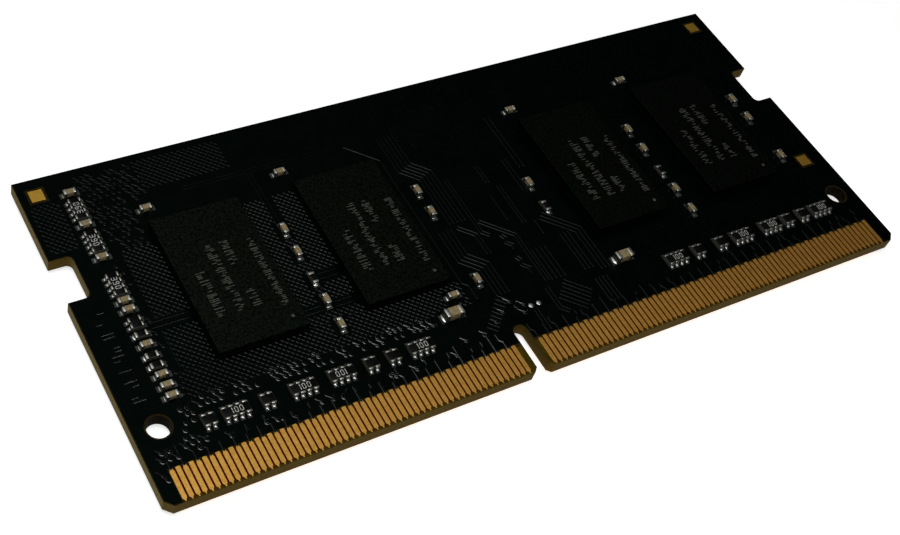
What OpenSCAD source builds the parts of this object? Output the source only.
// Small-outline memory module: an eight-layer board with edge contacts on both faces, four
// ball-grid memory packages and their surface-mounted capacitors, resistors and settings memory.
// Millimetres. The long axis is X, the contact edge faces -Y, the package side faces +Z. The origin
// is under the middle of the board, at the level of the lowest parts on the plain side.

/* [Board] */
// Length of the board along the contact edge
board_l = 69.6; // [69.4:0.1:69.8]
// Height of the board from the contact edge to the top edge
board_w = 30; // [29.9:0.1:30.3]
// Thickness of the glass-epoxy laminate, without its solder mask
laminate_t = 1.14; // [1.02:0.02:1.2]
// Thickness of each solder mask skin, and of the copper that shows through its windows
mask_t = 0.03; // [0.02:0.01:0.05]
// Chamfer on the two corners of the contact edge
corner_cut = 0.6; // [0.3:0.1:0.8]
// Bare laminate left between the outline and the solder mask
mask_margin = 0.08; // [0.04:0.02:0.12]

/* [Key notch] */
// Distance from the left edge to the middle of the key notch
key_x = 31.35; // [31.25:0.05:31.45]
// Width of the key notch
key_w = 1.2; // [1:0.1:1.4]
// Depth of the key notch, to the top of its round end
key_depth = 4.2; // [3.6:0.1:4.4]
// Chamfer on each side of the key notch's mouth
key_flare = 0.35; // [0.2:0.05:0.4]

/* [Latch notches and locating holes] */
// Height of the lower side of each latch notch above the contact edge
latch_y = 18; // [17.8:0.1:18.2]
// Opening of each latch notch along the side of the board
latch_h = 4; // [3.8:0.1:4.2]
// Depth of each latch notch into the board
latch_depth = 1.8; // [1.6:0.1:2]
// Radius of the inner corners of each latch notch
latch_r = 0.5; // [0.3:0.1:0.7]
// Diameter of the two unplated locating holes
hole_d = 1.8; // [1.6:0.1:2]
// Distance from each end of the board to its locating hole
hole_x = 2; // [1.8:0.1:2.2]
// Height of the locating holes above the contact edge
hole_y = 6; // [5.8:0.1:6.2]
// Bare ring left around each locating hole
hole_ring = 0.15; // [0.1:0.05:0.25]

/* [Contacts] */
// Distance between the middles of two neighbouring contacts
contact_pitch = 0.5; // [0.48:0.01:0.5]
// Width of one contact
contact_w = 0.36; // [0.3:0.02:0.4]
// Height of the contacts' upper ends above the contact edge
contact_top = 2.7; // [2.4:0.1:2.8]
// Contacts on the short side of the key notch, seen from the package side
left_count = 58; // [58]
// Contacts on the long side of the key notch
right_count = 72; // [72]
// Distance between the last contact before the key notch and the first one after it
key_span = 2.5; // [2.4:0.1:2.5]
// Distance from the left edge to the middle of the first contact
contact_x = 1.45; // [1.4:0.05:1.55]

/* [Memory packages] */
// Width of each memory package, along the board
package_w = 7.5; // [7:0.1:8]
// Length of each memory package, across the board
package_l = 13; // [12.6:0.1:13.4]
// Height of a package's middle above the contact edge
package_y = 15.95; // [15.7:0.05:16.1]
// Gap under each package, filled by its solder balls
ball_gap = 0.3; // [0.2:0.05:0.35]
// Thickness of the package's own substrate
substrate_t = 0.2; // [0.15:0.05:0.3]
// Thickness of the moulding above the substrate
mould_t = 0.6; // [0.5:0.05:0.7]
// Distance between the middles of two neighbouring solder balls
ball_pitch = 0.8; // [0.8]
// Diameter of a solder ball at its middle
ball_d = 0.46; // [0.4:0.02:0.5]

/* [Passive parts] */
// Length of the small capacitors, the resistors and, across their terminals, the resistor arrays
chip_l = 1; // [0.95:0.05:1.05]
// Width of the small capacitors and the resistors
chip_w = 0.5; // [0.45:0.05:0.55]
// Length of the two large capacitors
bulk_l = 1.6; // [1.5:0.1:1.7]
// Width and height of the two large capacitors
bulk_w = 0.8; // [0.7:0.1:0.9]
// Height of the single resistors
resistor_h = 0.36; // [0.3:0.02:0.4]
// Distance between the elements of a resistor array
array_pitch = 0.54; // [0.5:0.02:0.56]
// Height of a resistor array
array_h = 0.42; // [0.36:0.02:0.46]
// How far a solder joint reaches beyond its terminal
joint_reach = 0.28; // [0.2:0.02:0.32]

/* [Plain side] */
// Height of the small capacitors and the settings memory, which the module rests on
under_h = 0.5; // [0.45:0.05:0.6]
// Width of the settings memory package
settings_w = 2; // [1.9:0.1:2.2]
// Length of the settings memory package
settings_l = 3; // [2.8:0.1:3.2]

/* [Hidden] */
$fn = 32;

board_t = laminate_t + 2 * mask_t;
back_z = under_h;
front_z = back_z + board_t;

// Lower end of a contact: a narrow tail from just above the board's edge, then a taper to full width
contact_tip = 0.05;
contact_tail = 0.1;
contact_tail_w = 0.1;
contact_taper = 0.15;
// Bare strip beside the first and the last contact of the row
window_margin = 0.07;

// Wall of a capacitor's metal cups, and of the clips on a resistor
cup_wall = 0.02;
clip_wall = 0.03;
// Length of the metal band on each end of a part
cap_band = 0.26;
bulk_band = 0.38;
resistor_band = 0.22;
// Width of one terminal of a resistor array, and what its body adds beyond the outer ones
array_terminal_w = 0.34;
array_margin = 0.24;
cap = [chip_l, chip_w, under_h];
bulk_cap = [bulk_l, bulk_w, bulk_w];
resistor = [chip_l, chip_w, resistor_h];
quad_array = [chip_l, 3 * array_pitch + 2 * array_margin, array_h];
pair_array = [chip_l, array_pitch + 2 * array_margin, array_h];
settings_chip = [settings_w, settings_l, under_h];

// Middles of the four memory packages, from the left edge
package_x = [11.87, 24.35, 46.6, 59.1];
die_size = [5.6, 8.4, 0.3];

// Places of the parts on the package side: distance from the left edge, height above the contact
// edge, and the turn that sets the part's long axis
column_y = [9.1, 11.5, 13.7, 16.4, 18.8];
column_caps = [[18.15, [0, 1, 3, 4]], [30.55, [0, 3, 4]], [40.35, [3]], [52.85, [0, 1, 3, 4]], [65.3, [1, 3, 4]]];
column_resistors = [[18.15, [2]], [40.35, [2]], [52.85, [2]]];
top_cap_x = [8.75, 20.45, 43.4, 55.8];
top_cap_y = 24.3;
side_x = 3.82;
side_cap_y = [27.6, 24.3, 20.95, 16.65, 15.8, 12.5, 9.75, 8.8, 7.9];
side_resistor_y = [13.45, 11.5, 10.6];
side_quad_y = [25.85, 22.5, 18.2];
side_pair_y = [14.5];
row_y = 5.1;
row_quad_x = [7.5, 12.9, 16.1, 22.95, 48.1, 55.4, 58.7, 64.6];
row_pair_x = [5.4, 10, 18.6, 20.5, 50.5, 53, 60.7, 62.5];
bulk_caps = [[26.85, 6.8, 0], [43.6, 6.8, 0]];
lone_caps = [[27.85, 8.4, 0]];

caps = concat(
    columns(column_caps), lone_caps,
    [for (x = top_cap_x) [x, top_cap_y, 0]],
    [for (y = side_cap_y) [side_x, y, 0]]
);
resistors = concat(columns(column_resistors), [for (y = side_resistor_y) [side_x, y, 0]]);
data_arrays = [for (x = row_quad_x) [x, row_y, 90]];
data_pairs = concat([for (x = row_pair_x) [x, row_y, 90]], [for (y = side_pair_y) [side_x, y, 0]]);
address_arrays = [for (y = side_quad_y) [side_x, y, 0]];

// Places of the parts on the plain side, in the same coordinates
settings_place = [35.6, 17.4, 0];
back_cap_y = [12.6, 19.4];
back_cap_offset = 2.4;
back_arrays = [for (x = row_quad_x) [x, row_y, 90]];
back_caps = concat(
    [for (x = package_x, side = [-1, 1], y = back_cap_y) [x + side * back_cap_offset, y, 90]],
    [[settings_place[0], settings_place[1] + 2.4, 0]]
);

// Three gold squares, and two tinned test discs, with the width of bare board around them
squares = [[1.44, 28.3], [67.85, 28.35], [67.35, 10.35]];
square_w = 1.1;
square_window = 1.55;
discs = [[33.5, 5.45], [34.25, 5.45]];
disc_d = 0.5;

function columns(list) = [for (c = list) for (i = c[1]) [c[0], column_y[i], 90]];

function arc(centre, r, from, to, steps = 8) =
    [for (i = [0:steps]) let (a = from + (to - from) * i / steps) centre + r * [cos(a), sin(a)]];

// The board's outline, drawn inwards by a margin
function outline(m) = let (
    left = m, right = board_l - m, low = m, high = board_w - m,
    key_r = key_w / 2 + m,
    key_round_y = key_depth - key_w / 2,
    notch_low = latch_y - m, notch_high = latch_y + latch_h + m,
    notch_left = latch_depth + m, notch_right = board_l - latch_depth - m
) concat(
    [[left, corner_cut], [corner_cut, low]],
    [[key_x - key_r - key_flare, low], [key_x - key_r, key_flare + m]],
    arc([key_x, key_round_y], key_r, 180, 0, 16),
    [[key_x + key_r, key_flare + m], [key_x + key_r + key_flare, low]],
    [[board_l - corner_cut, low], [right, corner_cut]],
    [[right, notch_low]],
    arc([notch_right + latch_r, notch_low + latch_r], latch_r, 270, 180),
    arc([notch_right + latch_r, notch_high - latch_r], latch_r, 180, 90),
    [[right, notch_high], [right, high], [left, high], [left, notch_high]],
    arc([notch_left - latch_r, notch_high - latch_r], latch_r, 90, 0),
    arc([notch_left - latch_r, notch_low + latch_r], latch_r, 0, -90),
    [[left, notch_low]]
);

// Draw in board coordinates: x from the left edge, y from the contact edge, z outwards from the face
module on_front() translate([-board_l / 2, -board_w / 2, front_z]) children();
module on_back() translate([-board_l / 2, -board_w / 2, back_z]) mirror([0, 0, 1]) children();
module seat(places) for (p = places) translate([p[0], p[1], 0]) rotate(p[2]) children();

// A box that is centred in x and y and stands on z
module block(size, z = 0) translate([-size[0] / 2, -size[1] / 2, z]) cube(size);

// ---- Board ----

module pcb_laminate() color("darkgoldenrod")
    translate([-board_l / 2, -board_w / 2, back_z + mask_t]) difference() {
        linear_extrude(laminate_t) polygon(outline(0));
        for (x = [hole_x, board_l - hole_x])
            translate([x, hole_y, -1]) cylinder(h = laminate_t + 2, d = hole_d);
    }

// Bare strip along the contact edge, from the first contact to the last
module contact_window() {
    side = contact_w / 2 + window_margin;
    first = contact_x - side;
    last = contact_x + (left_count + right_count - 2) * contact_pitch + key_span + side;
    translate([first, -1]) square([last - first, contact_top + 1.05]);
}

// Land under each terminal of a part that has count elements along its local Y
module lands_2d(places, length, band, count, pitch, width)
    for (p = places) translate([p[0], p[1]]) rotate(p[2])
        for (i = [0:count - 1], side = [-1, 1])
            translate([side * (length / 2 + (joint_reach - band) / 2), (i - (count - 1) / 2) * pitch])
                square([band + joint_reach, width], center = true);

module front_lands_2d() {
    lands_2d(caps, cap[0], cap_band, 1, 0, cap[1]);
    lands_2d(bulk_caps, bulk_cap[0], bulk_band, 1, 0, bulk_cap[1]);
    lands_2d(resistors, resistor[0], resistor_band, 1, 0, resistor[1]);
    lands_2d(concat(data_arrays, address_arrays), chip_l, resistor_band, 4, array_pitch, array_terminal_w);
    lands_2d(data_pairs, chip_l, resistor_band, 2, array_pitch, array_terminal_w);
}

module back_lands_2d() {
    lands_2d(back_caps, cap[0], cap_band, 1, 0, cap[1]);
    lands_2d(back_arrays, chip_l, resistor_band, 4, array_pitch, array_terminal_w);
    translate([settings_place[0], settings_place[1]]) settings_leads_2d();
}

module mask() color("darkslategray") linear_extrude(mask_t) difference() {
    polygon(outline(mask_margin));
    contact_window();
    for (x = [hole_x, board_l - hole_x]) translate([x, hole_y]) circle(d = hole_d + 2 * hole_ring);
    children();
}

module solder_mask_front() on_front() translate([0, 0, -mask_t]) mask() {
    front_lands_2d();
    for (p = squares) translate(p) square(square_window, center = true);
    for (p = discs) translate(p) circle(d = disc_d);
}

module solder_mask_back() on_back() translate([0, 0, -mask_t]) mask() back_lands_2d();

// One contact: tapered to a narrow tail at the edge, and pointed or blunt at the top
module contact(pointed) {
    top_w = pointed ? 0.12 : contact_w - 0.12;
    shoulder = contact_top - (pointed ? 0.28 : 0.06);
    neck = contact_tip + contact_tail;
    hip = neck + contact_taper;
    polygon([
        [-contact_tail_w / 2, contact_tip], [contact_tail_w / 2, contact_tip],
        [contact_tail_w / 2, neck], [contact_w / 2, hip], [contact_w / 2, shoulder],
        [top_w / 2, contact_top], [-top_w / 2, contact_top], [-contact_w / 2, shoulder],
        [-contact_w / 2, hip], [-contact_tail_w / 2, neck]
    ]);
}

module contacts(first, count) color("gold") translate([0, 0, -mask_t]) linear_extrude(mask_t)
    for (i = [0:count - 1]) translate([first + i * contact_pitch, 0]) contact(i % 2 == 0);

right_first = contact_x + (left_count - 1) * contact_pitch + key_span;
module contacts_front_left() on_front() contacts(contact_x, left_count);
module contacts_front_right() on_front() contacts(right_first, right_count);
module contacts_back_left() on_back() contacts(contact_x, left_count);
module contacts_back_right() on_back() contacts(right_first, right_count);

module registration_pads() color("gold") on_front() for (p = squares)
    translate(p) block([square_w, square_w, mask_t], -mask_t);

module test_pads() color("silver") on_front() for (p = discs)
    translate([p[0], p[1], -mask_t]) cylinder(h = mask_t, d = disc_d);

module solder_lands_front() color("silver") on_front()
    translate([0, 0, -mask_t]) linear_extrude(mask_t) front_lands_2d();

module solder_lands_back() color("silver") on_back()
    translate([0, 0, -mask_t]) linear_extrude(mask_t) back_lands_2d();

// ---- Memory packages ----

mould_z = ball_gap + substrate_t;

module memory_package(i) on_front() translate([package_x[i], package_y, 0]) children();

module memory_mould(i) color("dimgray") memory_package(i) difference() {
    block([package_w, package_l, mould_t], mould_z);
    block(die_size + [0, 0, 1], mould_z - 1);
}

module memory_die(i) color("lightsteelblue") memory_package(i)
    block(die_size, mould_z);

module memory_substrate(i) color("darkolivegreen") memory_package(i)
    block([package_w, package_l, substrate_t], ball_gap);

module ball() rotate_extrude() polygon([
    [0, 0], [ball_d * 0.38, 0], [ball_d / 2, ball_gap * 0.35], [ball_d / 2, ball_gap * 0.65],
    [ball_d * 0.38, ball_gap], [0, ball_gap]
]);

// Two blocks of three columns, sixteen balls in each column
module memory_balls(i) color("silver") memory_package(i)
    for (column = [-4, -3, -2, 2, 3, 4], row = [0:15])
        translate([column * ball_pitch, (row - 7.5) * ball_pitch, 0]) ball();

// ---- Capacitors ----

module ceramic(size) block(size - 2 * cup_wall * [1, 1, 1], cup_wall);

// Metal cups over both ends of the ceramic
module cups(size, band) for (side = [-1, 1]) difference() {
    translate([side * (size[0] - band) / 2, 0, 0]) block([band, size[1], size[2]]);
    ceramic(size);
}

module capacitor_ceramics() color("tan") on_front() seat(caps) ceramic(cap);
module capacitor_terminals() color("silver") on_front() seat(caps) cups(cap, cap_band);
module bulk_capacitor_ceramics() color("tan") on_front() seat(bulk_caps) ceramic(bulk_cap);
module bulk_capacitor_terminals() color("silver") on_front() seat(bulk_caps) cups(bulk_cap, bulk_band);
module back_capacitor_ceramics() color("tan") on_back() seat(back_caps) ceramic(cap);
module back_capacitor_terminals() color("silver") on_back() seat(back_caps) cups(cap, cap_band);

// ---- Resistors: an alumina body, a dark coat between the clips, and a clip on each end ----

module alumina(size) block([size[0] - 2 * clip_wall, size[1], size[2] - 2 * clip_wall], clip_wall);
module coat(size) block([size[0] - 2 * resistor_band, size[1], clip_wall], size[2] - clip_wall);

module clips(size, count, width) for (i = [0:count - 1], side = [-1, 1])
    translate([0, (i - (count - 1) / 2) * array_pitch, 0]) difference() {
        translate([side * (size[0] - resistor_band) / 2, 0, 0]) block([resistor_band, width, size[2]]);
        alumina([size[0], width + 1, size[2]]);
    }

module resistor_bodies() color("white") on_front() seat(resistors) alumina(resistor);
module resistor_coats() color("black") on_front() seat(resistors) coat(resistor);
module resistor_terminals() color("silver") on_front() seat(resistors) clips(resistor, 1, resistor[1]);

module data_array_bodies() color("white") on_front() seat(data_arrays) alumina(quad_array);
module data_array_coats() color("black") on_front() seat(data_arrays) coat(quad_array);
module data_array_terminals() color("silver") on_front() seat(data_arrays)
    clips(quad_array, 4, array_terminal_w);

module data_pair_bodies() color("white") on_front() seat(data_pairs) alumina(pair_array);
module data_pair_coats() color("black") on_front() seat(data_pairs) coat(pair_array);
module data_pair_terminals() color("silver") on_front() seat(data_pairs)
    clips(pair_array, 2, array_terminal_w);

module address_array_bodies() color("white") on_front() seat(address_arrays) alumina(quad_array);
module address_array_coats() color("black") on_front() seat(address_arrays) coat(quad_array);
module address_array_terminals() color("silver") on_front() seat(address_arrays)
    clips(quad_array, 4, array_terminal_w);

module back_array_bodies() color("white") on_back() seat(back_arrays) alumina(quad_array);
module back_array_coats() color("black") on_back() seat(back_arrays) coat(quad_array);
module back_array_terminals() color("silver") on_back() seat(back_arrays)
    clips(quad_array, 4, array_terminal_w);

// ---- Solder joints: a hollow-faced ramp from each land up its terminal ----

module ramp(rise, width) rotate([90, 0, 0]) linear_extrude(width, center = true)
    polygon(concat([[0, 0]], [for (i = [0:5]) let (t = i / 5) [joint_reach * pow(1 - t, 2), rise * t * t]]));

module joints(length, rise, count, width) for (i = [0:count - 1], side = [0, 1])
    translate([0, (i - (count - 1) / 2) * array_pitch, 0]) mirror([side, 0, 0])
        translate([length / 2, 0, 0]) ramp(rise, width);

module solder_joints_front() color("lightgray") on_front() {
    seat(caps) joints(cap[0], cap[2] * 0.7, 1, cap[1]);
    seat(bulk_caps) joints(bulk_cap[0], bulk_cap[2] * 0.6, 1, bulk_cap[1]);
    seat(resistors) joints(resistor[0], resistor[2] * 0.8, 1, resistor[1]);
    seat(concat(data_arrays, address_arrays)) joints(chip_l, array_h * 0.8, 4, array_terminal_w);
    seat(data_pairs) joints(chip_l, array_h * 0.8, 2, array_terminal_w);
}

module solder_joints_back() color("lightgray") on_back() {
    seat(back_caps) joints(cap[0], cap[2] * 0.7, 1, cap[1]);
    seat(back_arrays) joints(chip_l, array_h * 0.8, 4, array_terminal_w);
}

// ---- Settings memory on the plain side: four leads on each side and a pad under the die ----

lead = [0.35, 0.26, 0.15];
lead_pitch = 0.5;
die_pad = [0.9, 1.6];
settings_die_size = [0.8, 1.2, 0.2];

module settings_leads_2d() {
    for (side = [-1, 1], i = [0:3])
        translate([side * (settings_chip[0] - lead[0]) / 2, (i - 1.5) * lead_pitch])
            square([lead[0], lead[1]], center = true);
    square(die_pad, center = true);
}

module settings_package() on_back() seat([settings_place]) children();

module settings_chip_leads() color("silver") settings_package()
    linear_extrude(lead[2]) settings_leads_2d();

module settings_chip_die() color("lightsteelblue") settings_package() block(settings_die_size, lead[2]);

module settings_chip_mould() color("dimgray") settings_package() difference() {
    block(settings_chip);
    translate([0, 0, -1]) linear_extrude(lead[2] + 1) settings_leads_2d();
    block(settings_die_size, lead[2]);
}

pcb_laminate();
solder_mask_front();
solder_mask_back();
contacts_front_left();
contacts_front_right();
contacts_back_left();
contacts_back_right();
registration_pads();
test_pads();
solder_lands_front();
solder_lands_back();
memory_mould(0);  // memory_mould_1
memory_mould(1);  // memory_mould_2
memory_mould(2);  // memory_mould_3
memory_mould(3);  // memory_mould_4
memory_die(0);  // memory_die_1
memory_die(1);  // memory_die_2
memory_die(2);  // memory_die_3
memory_die(3);  // memory_die_4
memory_substrate(0);  // memory_substrate_1
memory_substrate(1);  // memory_substrate_2
memory_substrate(2);  // memory_substrate_3
memory_substrate(3);  // memory_substrate_4
memory_balls(0);  // memory_balls_1
memory_balls(1);  // memory_balls_2
memory_balls(2);  // memory_balls_3
memory_balls(3);  // memory_balls_4
capacitor_ceramics();
capacitor_terminals();
bulk_capacitor_ceramics();
bulk_capacitor_terminals();
resistor_bodies();
resistor_coats();
resistor_terminals();
data_array_bodies();
data_array_coats();
data_array_terminals();
data_pair_bodies();
data_pair_coats();
data_pair_terminals();
address_array_bodies();
address_array_coats();
address_array_terminals();
solder_joints_front();
settings_chip_mould();
settings_chip_die();
settings_chip_leads();
back_capacitor_ceramics();
back_capacitor_terminals();
back_array_bodies();
back_array_coats();
back_array_terminals();
solder_joints_back();
